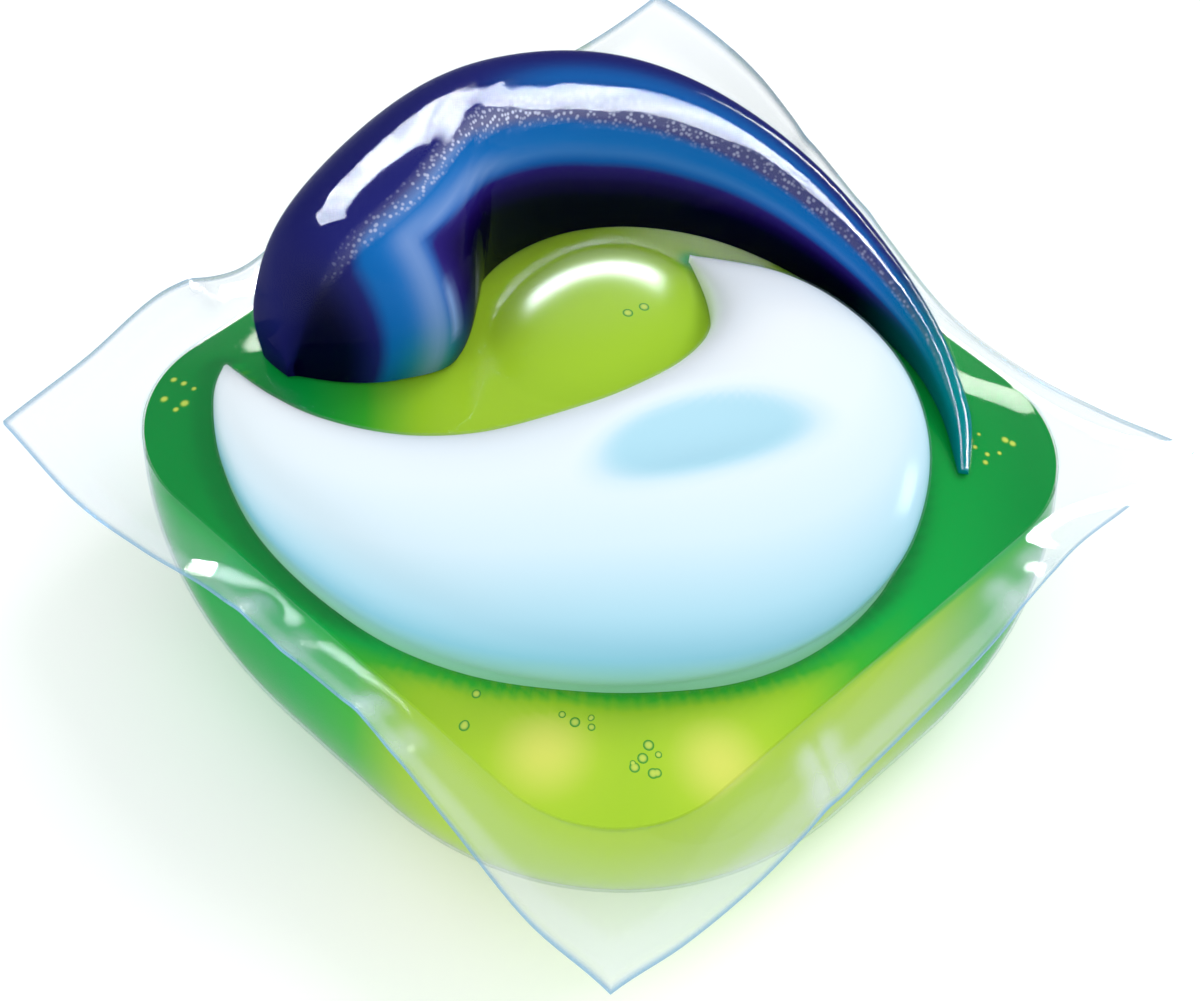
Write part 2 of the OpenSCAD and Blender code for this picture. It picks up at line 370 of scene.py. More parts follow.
@dataclass(frozen=True)
class BlueGel:
    """Deep blue detergent, nearly opaque, with painted sheen: fine painted sparkle specks under its crest.

    Its pattern lies by u, the place along the chamber from its blunt end, and v, the place across a rib
    from the outside. A painted highlight, a pale band, runs down the inside of the crest and turns round
    the blunt end, over painted reflections and shade.
    """

    # Painted shade on the outer side: darkest at its foot, lighter towards the crest.
    outer_stops: Stops = ((0.0, "#0F1148"), (0.46, "#191B60"), (0.61, "#222574"))
    # Painted reflections and shade on the inner side: a bright blue band, then purple, then near black in
    # shade at the inner foot.
    painted_inner_stops: Stops = (
        (0.0, "#131450"), (0.22, "#1E206E"), (0.29, "#0B66B2"), (0.4, "#0F6EBC"), (0.5, "#3679C4"),
        (0.58, "#1560B4"), (0.65, "#2A1C74"), (0.8, "#150848"), (0.95, "#030320"), (1.0, "#02021A"))
    # Layers over the body: a painted reflection band by the crest, teal at both ends, painted shade on the
    # blunt end's front, pale painted highlights.
    layers: tuple[tuple[str, str], ...] = (("painted_reflection_band", "#125CA6"), ("teal", "#008488"), ("painted_end_shade", "#01011A"),
                                           ("pale", "#7F9FD6"))
    crest: tuple[float, float] = (0.585, 0.61)
    # Painted sparkle: pale specks, and a haze of their colour, in a band under the crest where the
    # highlight falls.
    speck: str = "#DDE2FA"
    speck_step: float = 0.286
    speck_edge: tuple[float, float] = (0.2, 0.46)
    haze: float = 0.22
    roughness: float = 0.12
    ior: float = 1.02
    turn: float = 0.183
    band_edge_u: tuple[float, ...] = (0.2, 0.28, 0.39, 0.47, 0.53, 0.62, 0.72, 0.85)
    band_edge_v: tuple[float, ...] = (0.655, 0.67, 0.705, 0.72, 0.735, 0.735, 0.72, 0.69)

    def material(self) -> Material:
        """Builds the gel: its colours, with painted light and shade, run across each chamber rib, outside
        to inside.

        Returns:
            The new material.
        """
        material, tree = new_material("blue_detergent_painted_sheen")
        across, fold, painted_sparkle_band = (add_node(tree, "Attribute", attribute_name=mark).outputs["Fac"]
                               for mark in ("across", "fold", "painted_sparkle_band"))
        outer = add_node(tree, "ValToRGB", {0: across}, self.outer_stops)
        inner = add_node(tree, "ValToRGB", {0: fold}, self.painted_inner_stops)
        side = add_node(tree, "MapRange", {"Value": across, "From Min": self.crest[0],
                                           "From Max": self.crest[1]})
        body = add_node(tree, "MixRGB", {0: side, 1: outer, 2: inner})
        for mark, colour in self.layers:
            share = add_node(tree, "Attribute", attribute_name=mark).outputs["Fac"]
            body = add_node(tree, "MixRGB", {0: share, 1: body, 2: colour})
        place = add_node(tree, "TexCoord").outputs["Object"]
        # Painted sparkle: small pale specks.
        specks = add_node(tree, "TexVoronoi", {"Vector": place, "Scale": 1 / (self.speck_step * MM)})
        small = add_node(tree, "MapRange", {"Value": specks, "From Min": self.speck_edge[0],
                                            "From Max": self.speck_edge[1], "To Min": 1.0, "To Max": 0.0})
        spread = add_node(tree, "Math", {0: small, 1: 1 - self.haze, 2: self.haze},
                          operation="MULTIPLY_ADD")
        share = add_node(tree, "Math", {0: spread, 1: painted_sparkle_band}, operation="MULTIPLY")
        painted_sparkle = add_node(tree, "MixRGB", {0: share, 1: body, 2: self.speck})
        gel = add_node(tree, "BsdfPrincipled", {"Base Color": painted_sparkle, "Roughness": self.roughness,
                                                "IOR": self.ior})
        add_node(tree, "OutputMaterial", {"Surface": gel})
        return material

    def marks(self, u: np.ndarray, v: np.ndarray) -> dict[str, np.ndarray]:
        """Lays the pattern, with its painted light and shade, over the chamber.

        Args:
            u: Places along the chamber.
            v: Places across its ribs.

        Returns:
            The marks that the material reads.
        """
        # The fold mark is painted light and shade: it measures from the line of the painted bright band on
        # the inner side.
        lip = np.interp(u, self.band_edge_u, self.band_edge_v)
        depth = np.interp(u, [0.22, 0.4, 0.55], [0.026, 0.04, 0.052])
        outside = np.hypot(np.maximum(self.turn - u, 0) / 0.045, np.maximum(lip - v, 0) / 0.05)
        past, down = np.maximum(u - self.turn, 1e-6) / 0.025, np.maximum(v - lip, 1e-6) / depth
        fold = past * down / np.cbrt(past ** 3 + down ** 3) - outside
        width = np.interp(u, [0.6, 0.72], [0.034, 0.016])
        nose = hump(u, 0.18, 0.035) * smooth(0.8, 0.95, v)
        # Painted highlight: a thin pale line on the inner side of the nose.
        line = hump(u, 0.202, 0.006) * smooth(0.74, 0.8, v) * (1 - smooth(0.87, 0.92, v))
        # Painted highlight: a pale band along the line of the painted bright band, on the head.
        pale = 0.75 * hump(fold, 0, 0.42) * (1 - smooth(0.3, 0.46, u))
        # Where the painted sparkle lies: just under the crest, down towards the bright band.
        crest = smooth(0.575, 0.6, v) * (1 - smooth(0.6, 1.0, (v - 0.6) / np.maximum(lip - 0.662, 0.02)))
        return {
            "across": v,
            "fold": np.clip((fold + 3) / 6, 0, 1),
            # Painted reflection band just outside the crest.
            "painted_reflection_band": 0.95 * hump(v, 0.555, width) * smooth(0.34, 0.48, u),
            "teal": np.maximum(nose, smooth(0.78, 0.93, u)),
            # Painted shade on the front of the blunt end.
            "painted_end_shade": 0.95 * (1 - smooth(0.06, 0.125, u)) * smooth(0.36, 0.7, v),
            "pale": np.maximum(pale, line),
            "painted_sparkle_band": crest * (0.35 + 0.65 * hump(u, 0.36, 0.2)) * smooth(0.06, 0.16, u),
        }


@dataclass(frozen=True)
class WhiteGel:
    """Milky detergent, soft and almost opaque, with light and shade painted into its colour: paler on top.
    """

    # Painted light and shade from the foot up: green reflection, sky-blue shade, then white light on top.
    stops: Stops = ((0.0, "#8CCFA8"), (0.06, "#96D2CA"), (0.14, "#8CD0E4"), (0.24, "#B4E2F2"),
                    (0.4, "#DAF0FA"), (0.6, "#EBF7FD"), (1.0, "#F4FAFE"))
    painted_dish_shade: float = 0.16
    roughness: float = 0.35
    ior: float = 1.2

    def material(self) -> Material:
        """Builds the gel with painted light and shade: white on top, sky blue low on its outer side,
        and a little green reflection near the pocket.

        Returns:
            The new material.
        """
        material, tree = new_material("milky_white_detergent")
        painted_light_and_shade = add_node(tree, "Attribute", attribute_name="painted_light_and_shade").outputs["Fac"]
        body = add_node(tree, "ValToRGB", {0: painted_light_and_shade}, self.stops)
        gel = add_node(tree, "BsdfPrincipled", {"Base Color": body, "Roughness": self.roughness,
                                                "IOR": self.ior})
        add_node(tree, "OutputMaterial", {"Surface": gel})
        return material

    def marks(self, u: np.ndarray, v: np.ndarray, shade: np.ndarray) -> dict[str, np.ndarray]:
        """Lays the painted light and shade over the chamber: it grows lighter across the ribs, and faster
        near both ends.

        Args:
            u: Places along the chamber.
            v: Places across its ribs.
            shade: How much of the dish's shade lies there.

        Returns:
            The mark that the material reads.
        """
        rise = v * (1 + 0.9 * np.clip(np.abs(u - 0.45) / 0.4, 0, 1) ** 2)
        return {"painted_light_and_shade": np.clip(rise * (1 - shade) + self.painted_dish_shade * shade, 0, 1)}


@dataclass(frozen=True)
class StudioFloor:
    """White seamless paper, matt, which shows pure white away from the capsule's shadow."""

    paper: str = "#F4F6F8"
    glow: float = 0.2

    def material(self) -> Material:
        """Builds the paper: matt white, with a light of its own for the camera, which is whole far away.

        Returns:
            The new material.
        """
        material, tree = new_material("seamless_paper")
        path = add_node(tree, "LightPath").outputs
        seen = add_node(tree, "Math", {0: path["Is Camera Ray"], 1: path["Is Transmission Ray"]},
                        operation="MAXIMUM")
        far = add_node(tree, "Attribute", attribute_name="far").outputs["Fac"]
        shine = add_node(tree, "Math", {0: far, 1: self.glow}, operation="MAXIMUM")
        glow = add_node(tree, "Math", {0: seen, 1: shine}, operation="MULTIPLY")
        light = add_node(tree, "Emission", {"Strength": glow})
        matt = add_node(tree, "BsdfDiffuse", {"Color": self.paper})
        both = add_node(tree, "AddShader", {0: matt, 1: light})
        add_node(tree, "OutputMaterial", {"Surface": both})
        return material


@dataclass(frozen=True)
class Pocket:
    """The lower pocket, its flange and the web over it: their sizes in millimetres, and their curves."""

    half_w: float = 20.0
    corner_r: float = 7.5
    depth: float = 13.4
    foot_w: float = 21.0
    belly: float = 2.3
    sag: float = 0.8
    web_h: float = 2.8
    film_t: float = 0.1
    flange_w: float = 3.2
    corner_pull: float = 4.5
    raised_corner: float = 0.25
    pull_reach: float = 0.1
    web_power: float = 2.6
    droop_power: float = 1.4
    roundest: float = 0.93
    rounding: float = 0.67
    flank: float = 0.35
    bean_h: float = 0.9
    bean_middle: tuple[float, float] = (-4.6, 4.0)
    bean_half: tuple[float, float] = (5.4, 7.0)
    pleats: tuple[tuple[float, float], ...] = ((0.604, 0.35), (0.621, -0.3), (0.651, 0.4), (0.664, -0.25),
                                               (0.838, 0.4), (0.846, -0.35), (0.918, 0.35), (0.933, -0.3),
                                               (0.428, 0.3), (0.31, 0.3), (0.13, 0.3), (0.16, -0.25))
    pleat_w: float = 0.0042
    arc_steps: int = 28
    side_steps: int = 72

    @property
    def seal_z(self) -> float:
        """Height of the seal, where the films meet."""
        return self.depth + self.film_t

    @property
    def flange_half(self) -> float:
        """Half width of the flange."""
        return self.half_w + self.flange_w

    def edge_lifts(self) -> np.ndarray:
        """Lists how far the flange's edge lifts and droops.

        Returns:
            Heights at equal steps, from the right-hand back corner round the back.
        """
        back = [0.6, -1.2, -2.4, -2.2, 0.4, 3, 5, 5.8]
        left = [5.8, 4.4, 2.6, 1.8, 0.6, -0.8, 1.4, 0.1]
        front = [-0.7, -2, -0.9, 1, 1.4, 1.5, -0.8, -3.2]
        right = [-3, -5, -5.4, -3.8, -2.8, -1.5, 1.5, 0.9]
        return np.array(back + left + front + right)

    def four_sides(self, corner: np.ndarray, straight: float, half: float) -> np.ndarray:
        """Follows a corner with a straight side, and repeats both round the centre.

        Args:
            corner: Points of the corner.
            straight: Half the length of the side.
            half: Distance of the side from the centre.

        Returns:
            Points in the plane.
        """
        run = 1 - 2 * np.arange(1, self.side_steps) / self.side_steps
        side = np.stack([straight * run, np.full_like(run, half)], 1)
        quarter = np.concatenate([corner, side])
        x, y = quarter.T
        return np.concatenate([quarter, np.stack([-y, x], 1), -quarter, np.stack([y, -x], 1)])

    def outline(self, half: float, r: float) -> np.ndarray:
        """A square with round corners, from its first corner anticlockwise.

        Args:
            half: Half width.
            r: Radius of the corners.

        Returns:
            Points in the plane.
        """
        turn = np.linspace(0, TURN / 4, self.arc_steps + 1)
        arc = np.stack([half - r + r * np.cos(turn), half - r + r * np.sin(turn)], 1)
        return self.four_sides(arc, half - r, half)

    def cut_outline(self) -> np.ndarray:
        """The flange's cut edge before it drapes: a square with sharp corners.

        Returns:
            Points in the plane.
        """
        half = self.flange_half
        straight = self.half_w - self.corner_r
        reach = half - straight
        s = 2 * np.arange(self.arc_steps + 1) / self.arc_steps
        corner = np.stack([half - reach * np.maximum(s - 1, 0), half - reach * np.maximum(1 - s, 0)], 1)
        return self.four_sides(corner, straight, half)

    def way_round(self, points: np.ndarray) -> np.ndarray:
        """Finds how far round the flange points lie.

        Args:
            points: Points of the plan.

        Returns:
            Shares from 0 at the right-hand back corner to 1.
        """
        turned = np.degrees(np.arctan2(points[:, 1], points[:, 0])) - 45 + 360
        side = np.floor(turned / 90 + 1e-9).astype(int) % 4
        angle = -side * TURN / 4
        x = points[:, 0] * np.cos(angle) - points[:, 1] * np.sin(angle)
        return (side + (1 - x / self.flange_half) / 2) / 4

    def edge(self) -> np.ndarray:
        """The flange's cut edge, draped.

        Returns:
            Points whose height is above the seal.
        """
        plan = self.cut_outline()
        way = self.way_round(plan)
        near = np.maximum(0, 1 - ((way - self.raised_corner) / self.pull_reach) ** 2)
        return np.stack([plan[:, 0] + self.corner_pull * near ** 2, plan[:, 1],
                         spline(self.edge_lifts(), way, closed=True)], 1)

    def bean(self, x: np.ndarray, y: np.ndarray) -> np.ndarray:
        """Shapes the bean-shaped cushion of green gel between the chambers.

        Args:
            x: Places in the plan, to the right.
            y: Places in the plan, to the back.

        Returns:
            How far the films rise there.
        """
        across = (x - self.bean_middle[0]) / self.bean_half[0]
        along = (y - self.bean_middle[1]) / self.bean_half[1]
        return self.bean_h * np.clip(1 - (across ** 2 + along ** 2) ** 2, 0, 1) ** 1.5

    def web_z(self, x: np.ndarray, y: np.ndarray) -> np.ndarray:
        """Shapes the top of the green gel, a low dome.

        Args:
            x: Places in the plan, to the right.
            y: Places in the plan, to the back.

        Returns:
            Heights above the ground.
        """
        r = self.corner_r
        inner = self.half_w - r
        far = np.hypot(x, y) + 1e-9
        u, v = np.abs(x) / far, np.abs(y) / far
        reach = self.half_w / np.maximum(u, v)
        to_centre = (u + v) * inner
        round_reach = to_centre + np.sqrt(np.maximum(to_centre ** 2 - 2 * inner ** 2 + r ** 2, 0))
        in_corner = (reach * np.minimum(u, v)) > inner
        rho = np.minimum(far / np.where(in_corner, round_reach, reach), 1)
        return self.seal_z + self.web_h * (1 - rho ** self.web_power) + self.bean(x, y)

    def web_rings(self, lift: float, count: int = 44) -> np.ndarray:
        """Rings of the web from near its middle out to the rim.

        Args:
            lift: Height above the green gel.
            count: Number of rings.

        Returns:
            Rings of points.
        """
        shares = np.linspace(0.02, 1, count)
        plan = shares[:, None, None] * self.outline(self.half_w, self.corner_r)[None]
        z = self.web_z(plan[..., 0], plan[..., 1]) + lift
        return np.concatenate([plan, z[..., None]], axis=-1)

    def flange_rings(self, shares: np.ndarray, lift: float) -> np.ndarray:
        """Rings of the flange.

        Args:
            shares: Places from the rim, 0, to the cut edge, 1.
            lift: Height above the seal.

        Returns:
            Rings of points.
        """
        rim = self.outline(self.half_w, self.corner_r)
        edge = self.edge()
        q = shares[:, None, None]
        plan = rim[None] + (edge[None, :, :2] - rim[None]) * q
        fold = self.fold(self.way_round(self.cut_outline()))
        z = self.seal_z + edge[None, :, 2:] * q ** self.droop_power + lift
        z = z + fold[None, :, None] * smooth(0.12, 0.6, q) * (1 - 0.5 * smooth(0.8, 1.0, q))
        return np.concatenate([plan, z], axis=-1)

    def fold(self, way: np.ndarray) -> np.ndarray:
        """Shapes the pinched pleats round the flange.

        Args:
            way: How far round the flange each point lies.

        Returns:
            Heights of the pleats at their full rise.
        """
        rise = np.zeros_like(way)
        for place, height in self.pleats:
            gap = (way - place + 0.5) % 1 - 0.5
            rise += height * hump(gap, 0, self.pleat_w)
        return rise

    def belly_rings(self, out: float, count: int = 46) -> np.ndarray:
        """Rings of the pocket from the seal down to the foot.

        Args:
            out: Distance outside the gel.
            count: Number of rings.

        Returns:
            Rings of points.
        """
        rings = []
        for a in TURN / 4 * (1 - (1 - np.linspace(0, 1, count)) ** 1.5):
            steep = max(math.cos(a), 0.0)
            half = self.foot_w / 2 + (self.half_w - self.foot_w / 2) * steep ** self.flank
            half += self.belly * math.sin(2 * a)
            r = min(self.corner_r + self.rounding * self.half_w * math.sin(a), self.roundest * half)
            plan = self.outline(half + out, r + out) + self.sag * math.sin(a)
            z = np.full((len(plan), 1), self.seal_z - (self.depth + out) * math.sin(a))
            rings.append(np.concatenate([plan, z], axis=1))
        return np.stack(rings)


@dataclass(frozen=True)
class Chamber:
    """An upper chamber: the edges of its plan, its heights along them, and how its ribs are rounded."""

    outer: tuple[tuple[float, float], ...]
    inner: tuple[tuple[float, float], ...]
    heights: tuple[float, ...]
    height: float
    dish_depth: float = 0.0
    drawn_w: float = 41.0
    swirl_gap: float = 0.5
    end_half: float = 0.25
    crest_in: float = 6.0
    crest_power: float = 6.0
    crest_from_inner: bool = False
    tuck: float = 14.0
    squareness: float = 2.5
    stations: int = 180
    section: int = 56
    fine: int = 240
    bottom: int = 6
    flow: float = 0.0
    skirt: float = 2.5
    skirt_steps: int = 24
    dish_middle: tuple[float, float] = (7.0, -1.0)
    dish_way: tuple[float, float] = (0.396, 0.918)
    dish_half: tuple[float, float] = (7.4, 3.0)
    dish_bend: float = 0.9
    shade_half: tuple[float, float] = (8.0, 3.7)
    shade_bend: float = 1.05
    shade_off: float = 0.4
    shade_full: float = 0.85

    def foot_height(self, pocket: Pocket, centre: np.ndarray) -> np.ndarray:
        """Height at which each rib stands, under its middle."""
        far = (np.abs(centre / pocket.half_w) ** 4).sum(axis=1) ** 0.25
        return pocket.seal_z + pocket.web_h * (1 - np.minimum(far, 1) ** pocket.web_power)

    def dish_place(self, x: np.ndarray, y: np.ndarray) -> tuple[np.ndarray, np.ndarray]:
        """Finds the place in the thumb-shaped dish in the top of the chamber.

        Args:
            x: Places in the plan, to the right.
            y: Places in the plan, to the back.

        Returns:
            Places along and across the dish, from its middle.
        """
        dx, dy = x - self.dish_middle[0], y - self.dish_middle[1]
        return (dx * self.dish_way[0] + dy * self.dish_way[1],
                dx * self.dish_way[1] - dy * self.dish_way[0])

    def dish(self, x: np.ndarray, y: np.ndarray) -> np.ndarray:
        """Shapes the dish.

        Args:
            x: Places in the plan, to the right.
            y: Places in the plan, to the back.

        Returns:
            Depths of the dish there.
        """
        along, across = self.dish_place(x, y)
        along = along / self.dish_half[0]
        across = (across - self.dish_bend * along ** 2) / self.dish_half[1]
        return self.dish_depth * np.clip(1 - along ** 2 - across ** 2, 0, 1) ** 1.4

    def dish_shade(self, x: np.ndarray, y: np.ndarray) -> np.ndarray:
        """Shapes the dish's shade, which runs a little past the dish, toward the front.

        Args:
            x: Places in the plan, to the right.
            y: Places in the plan, to the back.

        Returns:
            How much of the shade lies there, from 0 to 1.
        """
        along, across = self.dish_place(x, y)
        along = along / self.shade_half[0]
        across = (across - self.shade_bend * along ** 2 - self.shade_off) / self.shade_half[1]
        return self.shade_full * smooth(0, 0.7, 1 - along ** 2 - across ** 2)

    def arches(self, pocket: Pocket, out: float,
               lift: float) -> tuple[np.ndarray, np.ndarray, np.ndarray]:
        """Shapes the ribs of the chamber, from where they rise off the web on one side to the other.

        Args:
            pocket: The pocket that the chamber stands on.
            out: Distance outside the gel.
            lift: Height above the green gel at which the ribs are trimmed.

        Returns:
            Points of the ribs, and for each how far along the chamber and across the rib it is.
        """
        scale = (2 * pocket.half_w - 2 * self.swirl_gap) / self.drawn_w
        t = (1 - np.cos(math.pi * np.linspace(0, 1, self.stations))) / 2
        outer, inner = np.array(self.outer), np.array(self.inner)
        if self.crest_from_inner:
            outer, inner = inner, outer
        a, b = spline(outer, t) * scale, spline(inner, t) * scale
        for end, place, way in ((0, 0.03, -1), (-1, 1.0, 1)):
            middle = [spline(outer, np.array(p)) + spline(inner, np.array(p))
                      for p in (place, place - 0.03)]
            heading = middle[0] - middle[1]
            beyond = way * out * heading / np.linalg.norm(heading)
            a[end] += beyond
            b[end] += beyond
        centre = (a + b) / 2
        span = np.linalg.norm(b - a, axis=1)
        across = (b - a) / span[:, None]
        half = np.maximum(span / 2, self.end_half)
        near = (half ** -self.crest_power + self.crest_in ** -self.crest_power) ** (-1 / self.crest_power)
        middle_to_crest = (near - half)[:, None] * across
        e = 2 / self.squareness
        tuck = math.radians(self.tuck)
        lift_share = math.sin(tuck) ** e
        tall = (self.height * spline(np.array(self.heights), t) + out) / (1 + lift_share)
        foot = self.foot_height(pocket, centre)
        phi = np.linspace(-tuck, math.pi + tuck, self.fine)
        swing = signed_power(np.cos(phi), e)[None]
        x = -np.where(swing > 0, (near + out)[:, None], (2 * half - near + out)[:, None]) * swing
        z = foot[:, None] + tall[:, None] * (lift_share + signed_power(np.sin(phi), e)[None])
        skirt = np.linspace(self.skirt, 0, self.skirt_steps, endpoint=False)
        x = np.concatenate([np.repeat(x[:, :1], len(skirt), 1), x, np.repeat(x[:, -1:], len(skirt), 1)],
                           axis=1)
        z = np.concatenate([z[:, :1] - skirt, z, z[:, -1:] - skirt[::-1]], axis=1)
        plan = (centre + middle_to_crest)[:, None] + across[:, None] * x[..., None]
        z = z - self.dish(plan[..., 0], plan[..., 1])
        ground = pocket.web_z(plan[..., 0], plan[..., 1]) + lift
        ribs, shares = [], []
        for k in range(self.stations):
            rib = np.concatenate([plan[k], z[k][:, None]], axis=1)
            above = np.nonzero(z[k] > ground[k])[0]
            first, last = above[0], above[-1]
            run = np.array([self.crossing(rib, ground[k], first, first - 1), *rib[first:last + 1],
                            self.crossing(rib, ground[k], last, last + 1)])
            length = np.concatenate([[0], np.cumsum(np.linalg.norm(np.diff(run, axis=0), axis=1))])
            even = np.linspace(0, length[-1], self.section + 1)
            ribs.append(np.stack([np.interp(even, length, run[:, i]) for i in range(3)], axis=1))
            shares.append(even / length[-1])
        along = np.repeat(t[:, None], self.section + 1, axis=1)
        across = 1 - np.stack(shares) if self.crest_from_inner else np.stack(shares)
        return self.flowing(np.stack(ribs), t), along, across

    def flowing(self, ribs: np.ndarray, t: np.ndarray) -> np.ndarray:
        """Eases the crest from rib to rib, and leaves the feet where they are.

        Args:
            ribs: Points of the ribs.
            t: Places of the ribs along the chamber.

        Returns:
            The eased points.
        """
        if not self.flow:
            return ribs
        gap = (t[:, None] - t[None, :]) / self.flow
        weight = np.exp(-gap ** 2 / 2) * (np.abs(gap) < 3)
        reach = np.minimum(t, 1 - t) / (3 * self.flow)
        eased = np.einsum("ij,jkc->ikc", weight / weight.sum(axis=1, keepdims=True), ribs)
        v = np.linspace(0, 1, ribs.shape[1])
        share = smooth(0.1, 0.35, v) * (1 - smooth(0.68, 0.9, v))
        share = share[None, :, None] * smooth(0, 1, reach)[:, None, None]
        return ribs + (eased - ribs) * share

    def crossing(self, rib: np.ndarray, ground: np.ndarray, above: int, below: int) -> np.ndarray:
        """Finds where a rib meets the ground.

        Args:
            rib: Points of the rib.
            ground: Height of the ground under each of them.
            above: Number of the last point above the ground.
            below: Number of the first one below it.

        Returns:
            The point between them.
        """
        high, low = rib[above, 2] - ground[above], rib[below, 2] - ground[below]
        share = high / (high - low) if high != low else 0.0
        return rib[above] + (rib[below] - rib[above]) * share

    def closed_rings(self, pocket: Pocket, out: float,
                     lift: float) -> tuple[np.ndarray, np.ndarray, np.ndarray]:
        """Rings round the gel of the chamber: over each rib, and back over the ground.

        Args:
            pocket: The pocket that the chamber stands on.
            out: Distance outside the gel.
            lift: Height above the green gel at which the ribs are trimmed.

        Returns:
            Rings of points, and for each point how far along the chamber and across the rib it is.
        """
        ribs, along, across = self.arches(pocket, out, lift)
        share = np.linspace(1, 0, self.bottom + 2)[1:-1]
        plan = ribs[:, :1, :2] + (ribs[:, -1:, :2] - ribs[:, :1, :2]) * share[None, :, None]
        z = pocket.web_z(plan[..., 0], plan[..., 1]) + lift
        floor = np.concatenate([plan, z[..., None]], axis=-1)
        along = np.concatenate([along, along[:, :self.bottom]], axis=1)
        across = np.concatenate([across, np.full((self.stations, self.bottom), 0.5)], axis=1)
        return np.concatenate([ribs, floor], axis=1), along, across


BLUE_CHAMBER = Chamber(
    outer=((-14.4, -11.6), (-17.8, -11.2), (-19.2, -8.6), (-20.1, -4.2), (-20.5, 1), (-20, 6),
           (-18.6, 10.6), (-15.8, 14.8), (-11.6, 17.9), (-6.4, 19.8), (-0.8, 20.4), (4.6, 19.8),
           (9.8, 18.2), (14.1, 15.8), (16.8, 12.6)),
    inner=((-14.1, -11.2), (-11.2, -9.6), (-9, -7.5), (-7.5, -4.4), (-9.4, -1.2), (-11.3, 1), (-11.9, 4),
           (-11.2, 7.4), (-9, 11), (-5.4, 14.4), (-1, 16.3), (4, 16.8), (8.6, 16.4), (12.8, 14.6),
           (16.3, 12.1)),
    heights=(0.12, 0.68, 0.86, 0.94, 1, 0.98, 0.91, 0.85, 0.78, 0.68, 0.56, 0.41, 0.29, 0.18, 0.06),
    height=12.6,
    squareness=2.1,
    tuck=35.0,
    flow=0.035,
)

WHITE_CHAMBER = Chamber(
    outer=((-18, -13.4), (-15.8, -16), (-12.4, -18.4), (-7.8, -20), (-2.2, -20.4), (3.6, -19.7),
           (9.2, -17.5), (14.2, -13.7), (17.8, -8.6), (19.5, -2.8), (19.1, 3.4), (16.4, 8.8),
           (12.2, 12.6), (7, 14.7), (1.4, 14.8), (-5, 12.2)),
    inner=((-17.8, -13), (-14.9, -13.9), (-12.1, -14.2), (-9.2, -13.8), (-6.3, -12.5), (-3.9, -10.6),
           (-1.9, -8.2), (-0.4, -5.4), (0.8, -2.2), (1.5, 1.2), (1.7, 3.9), (1.3, 6.2), (0.2, 8.2),
           (-1.4, 9.8), (-3, 10.9), (-4.8, 11.9)),
    heights=(0.1, 0.45, 0.7, 0.87, 0.97, 1, 1, 1, 1, 0.98, 0.95, 0.88, 0.76, 0.58, 0.38, 0.1),
    height=6.2,
    squareness=2.3,
    tuck=20.0,
    crest_in=7.5,
    crest_from_inner=True,
    dish_depth=0.9,
)


class Layer(Enum):
    """What a piece is filed under: its name, the CAD node it stands for and a slot name, which only tells
    whether it is film.
    """

    LOWER_FILM = ("lower_film_sheet", "lower_film", "clear_film")
    MIDDLE_FILM = ("middle_film_sheet", "middle_film", "clear_film")
    UPPER_FILM = ("upper_film_sheet", "upper_film", "clear_film")
    BLUE_HEAD = ("blue_head_film", "upper_film", "clear_film")
    BLUE_ARCH = ("blue_arch_film", "upper_film", "clear_film")
    WHITE_DOME = ("white_chamber_film", "upper_film", "clear_film")
    GREEN = ("green_gel_dose", "green_liquid", "green_gel")
    BLUE = ("blue_gel_dose", "blue_liquid", "blue_gel")
    WHITE = ("white_gel_dose", "white_liquid", "white_gel")
    BUBBLES = ("air_bubbles", "green_liquid", "green_gel")


